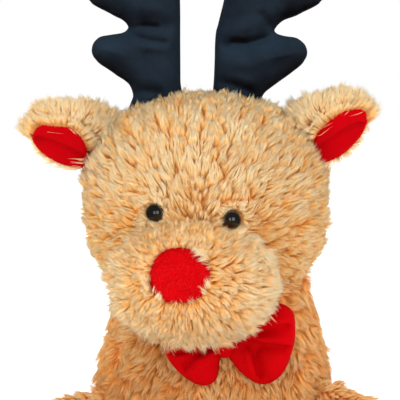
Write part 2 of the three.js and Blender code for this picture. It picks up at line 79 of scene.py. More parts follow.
# Round each eye the cover rises to just below the solid's face
EYE_BED = (6 * mm, 15 * mm)
EYE_BED_DEPTH = 0.4 * mm
# Ear linings: how far they stand out, how far behind them the cover lies, their thickness and their fold
LINING_STAND = 0.6 * mm
LINING_BED = 2.2 * mm
LINING_HALF_DEPTH, LINING_SHOULDER = 1.7 * mm, 3 * mm
FOLD_RISE, FOLD_DROP = 1.3 * mm, 2.2 * mm
RISE_REACH, DROP_REACH = 5 * mm, 7 * mm
# Below the fold the ear's edge is tucked in behind the lining's by so much
EDGE_TUCK = 1.5 * mm
# Places this far before each limb's hinge and this far past it, given to the limb's pile
HINGE_START, HINGE_END = 2 * mm, 14 * mm

# Outlines of the flat stuffed pieces as the photo shows them: across and up, in millimetres
ANTLER_OUTLINES = {
    "left": (
        (-20.3, 233.9), (-20.3, 253.5), (-20.4, 277.9), (-20.4, 296.1), (-20.9, 311.2), (-22.4, 320.9),
        (-26.6, 328.7), (-33.3, 333.2), (-40.5, 334.1), (-46.6, 331.1), (-50.3, 325.7), (-52.7, 320.3),
        (-58.2, 319.1), (-65.5, 320.3), (-73.4, 319.1), (-80.1, 314.8), (-83.1, 309.7), (-81.9, 305.8),
        (-79.2, 303.6), (-75.9, 302.1), (-73.8, 299.7), (-69.8, 297.3), (-65, 294.9), (-60.4, 292.4),
        (-55.6, 290), (-53.1, 287.6), (-52.2, 285.1), (-55.3, 282.4), (-62, 281.2), (-68.7, 280),
        (-71.8, 277.9), (-73.6, 275.4), (-74.3, 273), (-74.4, 270.6), (-73.6, 268.1), (-71.8, 265.7),
        (-69.4, 263.2), (-65.7, 260.8), (-62.1, 258.4), (-58.7, 255.9), (-54.8, 253.5), (-52, 251.1),
        (-50.5, 248.6), (-49.7, 246.2), (-49.3, 243.7), (-49.2, 233.9),
    ),
    "right": (
        (-0.5, 233.9), (-0.5, 246.2), (0, 253.5), (0.5, 265.7), (0.7, 275.4), (1.3, 282.7), (2.3, 286.4),
        (3.5, 291.2), (4.7, 296.1), (5.6, 299.7), (6.5, 304.5), (7.4, 313), (8.6, 320.9), (11.6, 328.1),
        (17.7, 332.9), (25.6, 334.4), (32.2, 332.3), (37.1, 326.9), (39.6, 320.9), (45, 319.7), (52.9, 320.9),
        (61.4, 319.7), (68.7, 315.4), (72.1, 310), (71.2, 305.8), (68.2, 303), (65.5, 301.8), (63.7, 299.7),
        (59.7, 297.3), (54.6, 294.9), (49.7, 292.4), (43, 290), (39.7, 287.6), (37.6, 285.1), (37, 283.3),
        (39.1, 281.5), (43.4, 280.3), (49.5, 279.4), (52.5, 277.9), (55.3, 275.4), (56.5, 273), (57, 270.6),
        (56.7, 268.1), (55.5, 265.7), (53.8, 263.2), (51.1, 260.8), (48, 258.4), (44.7, 255.9), (41.3, 253.5),
        (38, 251.1), (34.6, 248.6), (31.6, 246.2), (29.8, 243.7), (28.9, 241.3), (28.9, 233.9),
    ),
}
LINING_OUTLINES = {
    "left": (
        (-109.7, 219.2), (-108.5, 224.8), (-104.1, 228.1), (-97.5, 227.6), (-92, 227.1), (-86.5, 226.3),
        (-82.6, 223.2), (-79.4, 219.8), (-76.3, 214.1), (-75.7, 209), (-77.6, 203.8), (-81.1, 200.4),
        (-85.8, 201.1), (-90.6, 202.4), (-96.1, 204.8), (-102.4, 208.8), (-107, 213.6),
    ),
    "right": (
        (60.4, 220), (64.9, 226), (71.8, 232.2), (77.2, 236), (82.7, 237.4), (88.2, 237.9), (91.8, 235.4),
        (92.8, 231.1), (91.3, 225.6), (88.5, 220), (83, 213.5), (76.8, 208), (71.9, 205.4), (65.6, 203.2),
        (62.3, 202.2), (60.5, 206.6), (59.4, 213.5),
    ),
}
# The fold along each ear lining, from the ear's tip inward on the left and outward on the right
LINING_FOLDS = {
    "left": ((-103.5, 220.5), (-99.3, 219.5), (-93.6, 217.2), (-85.8, 213.7), (-78.3, 209.8), (-73.9, 207.4)),
    "right": ((57.1, 210.5), (63.2, 215.3), (69.5, 220), (76.5, 224.8), (82.8, 228.3), (86.1, 229.6)),
}
BOW_OUTLINES = {
    "left": (
        (4.6, 100.4), (4, 95.4), (3, 89.4), (2.4, 83.4), (0.5, 78.9), (-3.5, 76.3), (-8.4, 76.3),
        (-14.3, 78.8), (-20.2, 83.4), (-24.6, 88.1), (-27.6, 92.6), (-29, 97.4), (-27.9, 102.1),
        (-22.5, 105.7), (-14.3, 107.5), (-4.9, 106.3), (1.6, 103.3),
    ),
    "right": (
        (7.3, 97.9), (9.9, 102.7), (14, 110.5), (19.9, 118.2), (26.9, 123), (34, 125.4), (41, 124.5),
        (45, 121.7), (47.1, 118.2), (47.8, 111.3), (47.4, 102.3), (45.2, 94.4), (42.8, 87.4), (38.8, 81.4),
        (32.9, 77.5), (27, 76.9), (21.1, 79.4), (15.2, 84.4), (10.3, 90.4), (7.5, 95),
    ),
}
# Creases in the cloth: their lines, then how deep and how wide they are, in millimetres
ANTLER_CREASES = {
    "left": (
        (((-52.8, 285.1), (-44.3, 286.6), (-30.6, 286.2), (-22, 287)), 2.4, 5),
        (((-52.8, 284.6), (-44.3, 286.2), (-34.6, 285.6)), 1, 1.6),
        (((-52.2, 283), (-46.2, 279.6), (-38.9, 277.4), (-30, 276.4)), 1.4, 2),
        (((-49.3, 246.6), (-42, 247.1), (-34, 245.8)), 1.6, 3.2),
    ),
    "right": (
        (((37.3, 282.5), (29.4, 277.6), (17.8, 274.6), (6, 274.6)), 4, 5),
        (((37, 282.3), (29.4, 278.4), (20, 275.8), (12, 276.4)), 1.7, 1.8),
        (((37.9, 283.9), (33, 287.8), (28.8, 293)), 1, 2.2),
        (((2, 253), (12, 250.4), (22, 246.6), (27, 243)), 1.8, 2.8),
    ),
}
BOW_CREASES = {
    "left": (
        (((-4, 99), (-12, 93.5), (-18.6, 84.8)), 4.6, 2),
        (((1, 98), (-10.8, 97.4), (-22.6, 96)), 3.4, 2),
    ),
    "right": (
        (((26, 83), (23.8, 91.1), (22.7, 97.2), (20.4, 101.6)), 5.4, 1.9),
        (((20.4, 101.8), (30.2, 101.2), (37.7, 100.6), (43.5, 99.9)), 4.6, 1.9),
        (((26, 110.3), (36.2, 112.1), (43.5, 112.9)), 4.4, 1.9),
    ),
}
# A crease's shape in shares of its width and depth: how far a folded one reaches on its hollow and its rolled
# side, how far off the cloth beside it swells and by how much, and the share of the thickness that it leaves.
# The stuffing is lumpy by a share of its thickness.
HOLLOW_REACH, ROLL_REACH = 2.2, 0.45
SWELL_PLACE, SWELL = 2.2, 0.35
LEAST_THICKNESS = 0.2
LUMPS, LUMP_SIZE = 0.05, 22 * mm


def norms(v):
    return np.linalg.norm(v, axis=-1)


def unit(v):
    return v / np.maximum(norms(v)[..., None], 1e-12)


def bell(gap, reach):
    """Falls from 1 where there is no gap to near 0 at twice the reach."""
    return np.exp(-((gap / reach) ** 2))


def smoothstep(x, low, high):
    t = np.clip((x - low) / (high - low), 0, 1)
    return t * t * (3 - 2 * t)


def ripple(points, size, seed):
    """Smooth noise from about -1 to 1 that varies over that size."""
    chance = np.random.default_rng(seed)
    ways = unit(chance.normal(size=(7, 3))) * chance.uniform(0.7, 1.5, (7, 1)) * 2 * math.pi / size
    return np.sin(points @ ways.T + chance.uniform(0, 2 * math.pi, 7)).mean(1) * 2


# Materials


class Nodes:
    """Short forms for the node tree of a new material or world."""

    def __init__(self, name, kind=bpy.data.materials):
        self.owner = kind.new(name)
        self.owner.use_nodes = True
        self.tree = self.owner.node_tree
        self.shader = self.tree.nodes.get("Principled BSDF")

    def add(self, kind, links=(), **settings):
        node = self.tree.nodes.new("ShaderNode" + kind)
        for key, value in settings.items():
            setattr(node, key, value)
        for socket, source in dict(links).items():
            if isinstance(source, bpy.types.NodeSocket):
                self.tree.links.new(source, node.inputs[socket])
            else:
                node.inputs[socket].default_value = source
        return node

    def link(self, source, socket):
        self.tree.links.new(source, self.shader.inputs[socket])

    def set(self, **values):
        for key, value in values.items():
            self.shader.inputs[key.replace("_", " ")].default_value = value

    def ramp(self, factor, *stops):
        node = self.add("ValToRGB", {"Fac": factor})
        points = node.color_ramp.elements
        while len(points) < len(stops):
            points.new(0.5)
        for point, (place, colour) in zip(points, stops):
            point.position = place
            point.color = (*colour, 1)
        return node.outputs["Color"]

    def shades(self, factor, dark, light, span=(0.3, 0.7)):
        """Colours the material between two 8-bit colours, over a span of the factor."""
        self.link(self.ramp(factor, (span[0], srgb(dark)), (span[1], srgb(light))), "Base Color")

    def noise(self, size, detail=3, roughness=0.55, stretch=(1, 1, 1)):
        place = self.add("TexCoord").outputs["Object"]
        if stretch != (1, 1, 1):
            place = self.add("Mapping", {"Vector": place, "Scale": stretch}).outputs["Vector"]
        links = {"Vector": place, "Scale": 1 / size, "Detail": detail, "Roughness": roughness}
        return self.add("TexNoise", links).outputs["Fac"]

    def bump(self, height, distance, strength=1.0, normal=None):
        links = {"Height": height, "Distance": distance, "Strength": strength}
        if normal is not None:
            links["Normal"] = normal
        return self.add("Bump", links).outputs["Normal"]

    def scaled(self, value, factor, offset=0.0):
        node = self.add("Math", {0: value, 1: factor, 2: offset}, operation="MULTIPLY_ADD")
        return node.outputs["Value"]

    def mix(self, factor, a, b):
        a, b = ((*colour, 1) if isinstance(colour, tuple) else colour for colour in (a, b))
        return self.add("Mix", {"Factor": factor, 6: a, 7: b}, data_type="RGBA").outputs[2]


def srgb(colour):
    """Linear colour of an 8-bit sRGB one."""
    share = np.array(colour) / 255
    bright = ((share + 0.055) / 1.055) ** 2.4
    return tuple(float(x) for x in np.where(share <= 0.04045, share / 12.92, bright))


PILE_MAP = "OFBake"


def pile_material(name, *colours):
    """Colours a strand by how far along it a point lies, and by the strand's tone, which also carries painted
    light and shade where a pile sets them.
    """
    deep, middle, tip, pale = (srgb(colour) for colour in colours)
    n = Nodes(name)
    place = n.add("UVMap", uv_map=PILE_MAP).outputs["UV"]
    split = n.add("SeparateXYZ", {"Vector": place})
    dark = n.ramp(split.outputs["Y"], (0.1, deep), (0.6, middle), (0.95, tip))
    light = n.ramp(split.outputs["Y"], (0.15, middle), (0.6, tip), (0.9, pale))
    n.link(n.mix(split.outputs["X"], dark, light), "Base Color")
    n.set(Roughness=0.75, Specular_IOR_Level=0.08)
    return n.owner


def cloth_material(name, dark, light, shine, sheen=0.0, nap=0.12 * mm, rough=0.85, span=(0.3, 0.7),
                   painted_top_light=0.0):
    """Velour: soft lighter and darker patches where its short nap lies over, and a fine nap in the bump.

    By the share given it's lighter where the cloth faces up and darker where it faces down, a painted top
    light and shade.
    """
    n = Nodes(name)
    patches = n.noise(22.4 * mm, 4, 0.6)
    fine = n.noise(0.56 * mm, 2, 0.7)
    facing = n.add("SeparateXYZ", {"Vector": n.add("TexCoord").outputs["Normal"]}).outputs["Z"]
    # Painted top light and shade: the colour follows how far the cloth faces up
    both = n.mix(painted_top_light, n.mix(0.35, patches, fine), n.scaled(facing, 0.5, 0.5))
    n.shades(both, dark, light, span)
    n.link(n.bump(fine, nap, 0.6, n.bump(patches, 3 * nap, 0.5)), "Normal")
    n.link(n.ramp(patches, (0.3, (rough - 0.08,) * 3), (0.7, (rough + 0.06,) * 3)), "Roughness")
    n.set(Specular_IOR_Level=shine, Sheen_Weight=sheen, Sheen_Roughness=0.4)
    return n.owner


def backing_material(name):
    """The knitted backing under the pile."""
    n = Nodes(name)
    knit = n.noise(0.9 * mm, 2, 0.6, (1, 1, 0.6))
    patches = n.noise(12 * mm, 3)
    both = n.mix(0.5, knit, patches)
    n.shades(both, (238, 164, 94), (247, 182, 114))
    n.link(n.bump(knit, 0.3 * mm, 0.7), "Normal")
    n.set(Roughness=0.9, Specular_IOR_Level=0.15)
    return n.owner


def eye_material(name):
    n = Nodes(name)
    haze = n.noise(3 * mm, 3)
    n.shades(haze, (8, 6, 6), (20, 15, 13))
    n.link(n.ramp(haze, (0.3, (0.05,) * 3), (0.8, (0.1,) * 3)), "Roughness")
    n.set(Specular_IOR_Level=1.0)
    return n.owner


def grained_material(name, dark, light, grain, span, bump, **settings):
    """Two near colours and a grain, for the pieces inside."""
    n = Nodes(name)
    height = n.noise(*grain)
    n.shades(height, dark, light, span)
    n.link(n.bump(height, *bump), "Normal")
    n.set(**settings)
    return n.owner


def bag_material(name):
    n = Nodes(name)
    pellets = n.add("TexVoronoi", {"Vector": n.add("TexCoord").outputs["Object"], "Scale": 1 / (3.2 * mm)})
    weave = n.noise(0.5 * mm, 2)
    n.shades(weave, (200, 190, 168), (222, 214, 196))
    n.link(n.bump(pellets.outputs["Distance"], 0.7 * mm, 0.8), "Normal")
    n.set(Roughness=0.9)
    return n.owner


# Colours of each pile's darker strands at the root, both kinds further up, and the paler ones at the tip
PILE_COLOURS = {
    "head_pile": ((246, 144, 50), (249, 188, 104), (251, 226, 172), (253, 240, 210)),
    "muzzle_pile": ((250, 150, 56), (252, 190, 106), (254, 223, 168), (255, 237, 202)),
    # The body's pile is darker and redder than the head's: partly its own colour, partly painted shade from
    # the head and muzzle above it
    "body_pile": ((240, 136, 48), (247, 170, 86), (250, 206, 138), (252, 224, 176)),
    "tuft_pile": ((250, 176, 96), (251, 202, 134), (252, 224, 174), (253, 238, 206)),
    "ear_pile": ((248, 166, 86), (251, 204, 134), (253, 228, 176), (254, 239, 208)),
    "red_pile": ((210, 0, 4), (220, 0, 8), (230, 4, 14), (240, 34, 40)),
}
materials = {name: pile_material(name, *colours) for name, colours in PILE_COLOURS.items()}
materials |= {
    "backing": backing_material("plush_backing"),
    # The navy velour is lighter where it faces up and darker where it faces down, a painted top light and
    # shade
    "navy_velour": cloth_material("navy_velour", (5, 2, 4), (30, 43, 55), shine=0.06, sheen=0.02, rough=0.6,
                                  nap=0.3 * mm, span=(0.3, 0.68), painted_top_light=0.48),
    "red_velour": cloth_material("red_velour", (164, 0, 2), (190, 0, 8), shine=0.04),
    # The linings take a darker copy of the red velour, painted shade on them
    "shaded_lining_velour": cloth_material("shaded_lining_velour", (150, 0, 4), (180, 0, 10), shine=0.04),
    "eye_plastic": eye_material("eye_plastic"),
    "washer_plastic": grained_material("washer_plastic", (222, 222, 218), (236, 236, 232),
                                       grain=(0.6 * mm, 3), span=(0.3, 0.7), bump=(0.05 * mm, 0.4),
                                       Roughness=0.45),
    "polyester_filling": grained_material("polyester_filling", (226, 224, 216), (250, 249, 245),
                                          grain=(2.2 * mm, 5, 0.7, (1, 1, 2.5)), span=(0.25, 0.75),
                                          bump=(0.8 * mm, 0.8), Roughness=0.95, Sheen_Weight=0.4),
    "pellet_bag_cloth": bag_material("pellet_bag_cloth"),
}


# Mesh helpers


def threes(items, field, kind=np.float32):
    """What each item holds in a field of three numbers."""
    values = np.empty(len(items) * 3, kind)
    items.foreach_get(field, values)
    return values.reshape(-1, 3)


def mesh_points(obj):
    return threes(obj.data.vertices, "co").astype(float)


def vertex_normals(obj):
    return threes(obj.data.vertex_normals, "vector").astype(float)


def set_points(obj, points):
    obj.data.vertices.foreach_set("co", np.ascontiguousarray(points, np.float32).ravel())
    obj.data.update()


def new_object(name, mesh, material):
    obj = bpy.data.objects.new(name, mesh)
    bpy.context.scene.collection.objects.link(obj)
    mesh.materials.clear()
    mesh.materials.append(materials[material])
    mesh.shade_smooth()
    return obj


def mesh_of(name, points, faces):
    mesh = bpy.data.meshes.new(name)
    mesh.from_pydata([tuple(p) for p in points], [], [tuple(f) for f in faces])
    mesh.validate()
    return mesh


def mesh_from(name, bm):
    mesh = bpy.data.meshes.new(name)
    bm.to_mesh(mesh)
    bm.free()
    return mesh


def drop_loose(bm):
    bmesh.ops.delete(bm, geom=[v for v in bm.verts if not v.link_faces], context="VERTS")


def node_mesh(node, hull=False):
    """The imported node's mesh with its split corners joined, or its convex hull."""
    bm = bmesh.new()
    bm.from_mesh(nodes[node].data)
    bmesh.ops.remove_doubles(bm, verts=bm.verts, dist=0.01 * mm)
    if hull:
        bmesh.ops.delete(bm, geom=bm.edges[:], context="EDGES_FACES")
        bmesh.ops.convex_hull(bm, input=bm.verts)
        drop_loose(bm)
    return mesh_from(node + "_form", bm)


def remeshed(name, mesh, material, grid, smoothing):
    """The mesh made anew on an even grid and softened."""
    obj = new_object(name, mesh, material)
    voxels = obj.modifiers.new("grid", "REMESH")
    voxels.mode = "VOXEL"
    voxels.voxel_size = grid
    soften = obj.modifiers.new("soften", "SMOOTH")
    soften.factor = 0.5
    soften.iterations = smoothing
    shown = obj.evaluated_get(bpy.context.evaluated_depsgraph_get())
    obj.data = bpy.data.meshes.new_from_object(shown)
    obj.modifiers.clear()
    obj.data.shade_smooth()
    return obj


def tree_of(*objects):
    """A search tree over several objects' faces."""
    points, faces = [], []
    for obj in objects:
        start = len(points)
        points += [tuple(v.co) for v in obj.data.vertices]
        faces += [tuple(start + i for i in f.vertices) for f in obj.data.polygons]
    return BVHTree.FromPolygons(points, faces)


def nearest(tree, points):
    """Nearest places on a tree's faces, and how far off they are."""
    found = [tree.find_nearest(Vector(p)) for p in points]
    return np.array([f[0] for f in found]), np.array([f[3] for f in found])


def rounded(outline, step):
    """A closed line through the points as an even run of closer ones."""
    points = np.array(outline) * mm
    count = len(points)
    spans = norms(np.roll(points, -1, 0) - points)
    line = []
    for i in range(count):
        a, b, c, e = (points[(i + k) % count] for k in (-1, 0, 1, 2))
        for t in np.arange(0, 1, 1 / max(1, round(spans[i] / step))):
            square = (2 * a - 5 * b + 4 * c - e) * t**2
            cube = (3 * b - a - 3 * c + e) * t**3
            line.append(0.5 * (2 * b + (c - a) * t + square + cube))
    return np.array(line)


def line_offsets(points, line):
    """Distance from each point to a line of several points, below zero on its right."""
    gaps, turns = [], []
    for a, b in zip(line[:-1], line[1:]):
        run = b - a
        share = np.clip(((points - a) @ run) / (run @ run), 0, 1)
        off = points - a - share[:, None] * run
        gaps.append(norms(off))
        turns.append(np.where(run[0] * off[:, 1] < run[1] * off[:, 0], -1.0, 1.0))
    closest = np.argmin(gaps, axis=0), np.arange(len(points))
    return np.array(gaps)[closest] * np.array(turns)[closest]


def line_gap(points, line):
    return np.abs(line_offsets(points, line))


def inside_line(points, line):
    """Whether each flat point lies inside a closed line."""
    within = np.zeros(len(points), bool)
    for a, b in zip(line, np.roll(line, -1, 0)):
        crosses = (a[1] > points[:, 1]) != (b[1] > points[:, 1])
        where = a[0] + (points[:, 1] - a[1]) * (b[0] - a[0]) / ((b[1] - a[1]) or 1)
        within ^= crosses & (points[:, 0] < where)
    return within


def stuffed_outline(name, outline, plane, half_depth, shoulder, creases, material, step=0.9 * mm,
                    folded=False):
    """Two panels sewn along an outline in an upright plane and stuffed, with creases pressed into both.

    Along a folded crease the cloth rolls over on the line's left and lies hollow on its right.
    """
    rim = rounded(outline, step)
    low, high = rim.min(0), rim.max(0)
    across, up = np.meshgrid(*(np.arange(low[k] + step / 2, high[k], step) for k in range(2)))
    grid = np.stack([across.ravel(), up.ravel()], 1)
    grid[:, 0] += np.where(np.round((grid[:, 1] - low[1]) / step) % 2 > 0.5, step / 2, 0)
    closed = np.vstack([rim, rim[:1]])
    grid = grid[line_gap(grid, closed) > 0.6 * step]
    seeds = [Vector(p) for p in np.vstack([rim, grid])]
    flat, _, faces, *_ = delaunay_2d_cdt(seeds, [], [list(range(len(rim)))], 1, 1e-7)
    flat = np.array([tuple(v) for v in flat])
    depth = np.clip(line_gap(flat, closed) / shoulder, 0, 1)
    on_rim = depth < 1e-4
    height = half_depth * np.sqrt(1 - (1 - depth) ** 2)
    solid = np.stack([flat[:, 0], np.full(len(flat), plane), flat[:, 1]], 1)
    height *= 1 + LUMPS * ripple(solid, LUMP_SIZE, 3) * depth
    plain = height.copy()
    for line, deep, wide in creases:
        gap = line_offsets(flat, np.array(line) * mm) / (wide * mm)
        if not folded:
            gap = np.abs(gap)
        hollow = bell(gap, np.where(gap < 0, HOLLOW_REACH, ROLL_REACH) if folded else 1)
        height -= deep * mm * hollow * np.minimum(1, 2 * depth)
        height += SWELL * deep * mm * bell(gap - SWELL_PLACE, 1) * depth
    height = np.maximum(height, LEAST_THICKNESS * plain)
    height[on_rim] = 0
    back = np.where(on_rim, np.arange(len(flat)), len(flat) + np.cumsum(~on_rim) - 1)
    thickness = height[:, None] * (0, 1, 0)
    front_points = solid - thickness
    back_points = (solid + thickness)[~on_rim]
    turned = [tuple(f) for f in faces]
    a, b, c = (front_points[turned[0][k]] for k in range(3))
    if np.cross(b - a, c - a)[1] > 0:
        turned = [f[::-1] for f in turned]
    faces = turned + [tuple(int(back[k]) for k in f[::-1]) for f in turned]
    return new_object(name, mesh_of(name, np.vstack([front_points, back_points]), faces), material)


def centre_of(name):
    low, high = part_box(name)
    return np.array((low + high) / 2)


def eye_axis(side):
    """The way an eye looks: along its stem, from the washer inside to the dome."""
    points = mesh_points(nodes[f"{side}_eye"])
    spread = points - points.mean(0)
    axis = np.linalg.svd(spread, full_matrices=False)[2][0]
    return axis if axis[1] < 0 else -axis


# Covers


def fitted_hull(name, node, material, depth, below, above, grid=COVER_GRID, smoothing=6):
    """A node's hull drawn in from its box by depth at the sides, and by its own depths below and above."""
    obj = remeshed(name, node_mesh(node, hull=True), material, grid, smoothing)
    least, most = (np.array(corner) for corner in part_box(node))
    low, high = np.array((depth, depth, below)), np.array((depth, depth, above))
    points = mesh_points(obj)
    share = (points - points.min(0)) / np.ptp(points, axis=0)
    set_points(obj, least + low + share * (most - high - least - low))
    return obj


def sewn_on(node, depth=COVER_DEPTH, grid=FINE_GRID, smoothing=6):
    """A node's form drawn in by depth, its near side laid on the body's or the head's cover as a seam is."""
    obj = remeshed(f"{node}_cloth", node_mesh(node), "backing", grid, smoothing)
    points = mesh_points(obj) - depth * vertex_normals(obj)
    seats, gaps = nearest(tree_of(body_cover, head_cover), mesh_points(obj))
    laid = 1 - smoothstep(gaps, COVER_DEPTH + SEAM_SEAT, COVER_DEPTH + SEAM_REACH)
    set_points(obj, points + laid[:, None] * (seats - points))
    return obj


def dress(obj, node, body="torso"):
    """Hangs a piece on the body that it rides on, and hides the node that it stands for."""
    if body:
        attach(obj, body)
    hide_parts(node)
    return obj


body_cover = fitted_hull("body_cloth", "body_cover", "backing", COVER_DEPTH, 0, 0)
head_cover = fitted_hull("head_cloth", "head_cover", "backing", COVER_DEPTH, 0, COVER_DEPTH)
eyes = {side: (centre_of(f"{side}_eye"), eye_axis(side)) for side in SIDES}
points = mesh_points(head_cover)
for eye, out in eyes.values():
    gap = points - eye
    aside = norms(gap - (gap @ out)[:, None] * out)
    facing = vertex_normals(head_cover) @ out > 0.3
    points += ((1 - smoothstep(aside, *EYE_BED)) * facing * (COVER_DEPTH - EYE_BED_DEPTH))[:, None] * out
set_points(head_cover, points)
dress(body_cover, "body_cover")
dress(head_cover, "head_cover")
muzzle = dress(sewn_on("muzzle"), "muzzle")
tail = dress(sewn_on("tail"), "tail")


def under_fold(points, side):
    """How far below the fold of an ear's lining each point is."""
    return np.interp(points[:, 0], *(np.array(LINING_FOLDS[side]) * mm).T) - points[:, 2]


ears, linings, ear_rims = {}, {}, {}
for side in SIDES:
    ears[side] = sewn_on(f"{side}_ear", EAR_COVER_DEPTH, grid=1.1 * mm, smoothing=5)
    dress(ears[side], f"{side}_ear")
    # The lining lies on a tilted plane in the ear's front, and the ear's cloth is drawn back behind it
    form = mesh_points(nodes[f"{side}_ear_lining"])
    middle = form.mean(0)
    tilt = np.linalg.svd(form - middle, full_matrices=False)[2][2]

    def lining_depth(points):
        off = points - middle
        return middle[1] - LINING_STAND - (tilt[0] * off[:, 0] + tilt[2] * off[:, 2]) / tilt[1]

    rim = rounded(LINING_OUTLINES[side], 1 * mm)
    closed = np.vstack([rim, rim[:1]])
    points = mesh_points(ears[side])
    flat = points[:, [0, 2]]
    gap = line_gap(flat, closed) * np.where(inside_line(flat, rim), -1, 1)
    seat = lining_depth(points) + LINING_BED
    laid = 1 - smoothstep(gap, 0.5 * mm, 3.5 * mm)
    points[:, 1] += np.where(points[:, 1] < seat, laid * (seat - points[:, 1]), 0)
    # Below the fold the lining reaches the ear's edge
    under = smoothstep(under_fold(points, side), -1 * mm, 4 * mm)
    edge = rim[np.argmin(norms(flat[:, None] - rim), axis=1)]
    edge = edge + EDGE_TUCK * unit(rim.mean(0) - edge)
    points[:, [0, 2]] += (under * (gap > -EDGE_TUCK))[:, None] * (edge - flat)
    set_points(ears[side], points)
    ear_rims[side] = closed
    lining = stuffed_outline(f"{side}_ear_velour", LINING_OUTLINES[side], 0.0, LINING_HALF_DEPTH,
                             LINING_SHOULDER, (), "shaded_lining_velour", step=0.7 * mm)
    points = mesh_points(lining)
    flat = points[:, [0, 2]]
    above = under_fold(points, side) < 0
    gap = line_gap(flat, np.array(LINING_FOLDS[side]) * mm)
    flap = FOLD_RISE * bell(gap, RISE_REACH)
    dish = FOLD_DROP * (bell(gap, DROP_REACH) * smoothstep(gap, 0, 1.3 * mm))
    depth = np.where(above, -flap, dish - FOLD_RISE * (1 - smoothstep(gap, 0, 0.9 * mm)))
    points[:, 1] += lining_depth(points) + depth * smoothstep(line_gap(flat, closed), 0, 3 * mm)
    set_points(lining, points)
    dress(lining, f"{side}_ear_lining")
    linings[side] = lining

for name in ("head_filling", "body_filling"):
    filling = fitted_hull(f"{name}_fibre", name, "polyester_filling", FILLING_DEPTH, 4 * mm, FILLING_DEPTH,
                          grid=4 * mm, smoothing=4)
    dress(filling, name)
bag = remeshed("pellet_sack", node_mesh("pellet_bag"), "pellet_bag_cloth", 2 * mm, 6)
dress(bag, "pellet_bag")

# Limbs: their covers, the covers' hinges and the ways that they point.
limbs = {}
for joint in frame["joints"]:
    limb = joint["child"]
    cover = dress(sewn_on(limb), limb, body=None)
    hinge = np.array(joint["pos_m"])
    limbs[limb] = (cover, hinge, unit(mesh_points(nodes[f"{limb}_hoof"]).mean(0) - hinge))
    hoof = remeshed(f"{limb}_hoof_cloth", node_mesh(f"{limb}_hoof"), "navy_velour", 1.3 * mm, 14)
    dress(hoof, f"{limb}_hoof", body=limb)

# Pile: how far along a strand its middle ring lies and how thick it is there, its sides, the most strands in a
# piece, how deep the roots go, how near the floor strands come, and how far off a surface is still looked for
STRAND_MIDDLE, MIDDLE_SHARE = 0.55, 0.8
STRAND_SIDES = 3
PIECE_STRANDS = 19800
ROOT_DEPTH = 0.4 * mm
FLOOR_GAP = 0.4 * mm
INSIDE_REACH = 20 * mm
# Sizes of the swirls in the way that strands lie and of the patches in their tone
SWIRL, PATCH = 24 * mm, 30 * mm


def inside(tree, points):
    """How far each point is from a closed surface, and below zero just inside it."""
    result = np.zeros(len(points))
    for i, p in enumerate(points):
        place, normal, _, gap = tree.find_nearest(Vector(p))
        result[i] = -gap if gap < INSIDE_REACH and (Vector(p) - place).dot(normal) < 0 else gap
    return result


def sampled(cover, count, keep, clear, chance):
    """Random places on a cover with their normals, thinned where keep is low and within clear's surfaces."""
    cover.data.calc_loop_triangles()
    corners = threes(cover.data.loop_triangles, "vertices", np.int32)
    points, normals = mesh_points(cover), vertex_normals(cover)
    a, b, c = (points[corners[:, k]] for k in range(3))
    area = norms(np.cross(b - a, c - a)) / 2
    middles = (a + b + c) / 3
    weight = area * keep(middles, unit(normals[corners].mean(1)))
    for tree, gap in clear:
        weight *= inside(tree, middles) > gap
    pick = chance.choice(len(corners), count, p=weight / weight.sum())
    share = chance.dirichlet((1, 1, 1), count)[:, :, None]
    return (points[corners[pick]] * share).sum(1), unit((normals[corners[pick]] * share).sum(1))


def strand_mesh(name, paths, widths, tones):
    """One closed tapered strand for each path. A path is its root, its middle and its tip."""
    count = len(paths)
    run = unit(paths[:, -1] - paths[:, 0])
    side = unit(np.cross(run, np.where(np.abs(run[:, 2:]) < 0.9, (0.0, 0.0, 1.0), (1.0, 0.0, 0.0))))
    other = np.cross(run, side)
    rings = []
    for k, share in enumerate((1.0, MIDDLE_SHARE)):
        for j in range(STRAND_SIDES):
            turn = 2 * math.pi * j / STRAND_SIDES
            offset = math.cos(turn) * side + math.sin(turn) * other
            rings.append(paths[:, k] + offset * (widths * share / 2)[:, None])
    points = np.stack([*rings, paths[:, -1]], 1)
    per = points.shape[1]
    faces = [(2, 1, 0)]
    for j in range(STRAND_SIDES):
        k = (j + 1) % STRAND_SIDES
        faces += [(j, k, k + 3), (j, k + 3, j + 3), (j + 3, k + 3, 6)]
    faces = np.array(faces)
    along = np.array([0.0] * 3 + [STRAND_MIDDLE] * 3 + [1.0])
    corners = (np.arange(count)[:, None, None] * per + faces).reshape(-1, 3)
    mesh = bpy.data.meshes.new(name)
    mesh.vertices.add(count * per)
    mesh.vertices.foreach_set("co", points.astype(np.float32).ravel())
    mesh.loops.add(corners.size)
    mesh.loops.foreach_set("vertex_index", corners.astype(np.int32).ravel())
    mesh.polygons.add(len(corners))
    mesh.polygons.foreach_set("loop_start", np.arange(0, corners.size, 3, dtype=np.int32))
    uv = mesh.uv_layers.new(name=PILE_MAP)
    across = np.repeat(tones, len(faces) * 3)
    up = np.tile(along[faces].ravel(), count)
    uv.data.foreach_set("uv", np.stack([across, up], 1).astype(np.float32).ravel())
    mesh.update()
    mesh.validate()
    return mesh


def everywhere(points, normals):
    return np.ones(len(points))


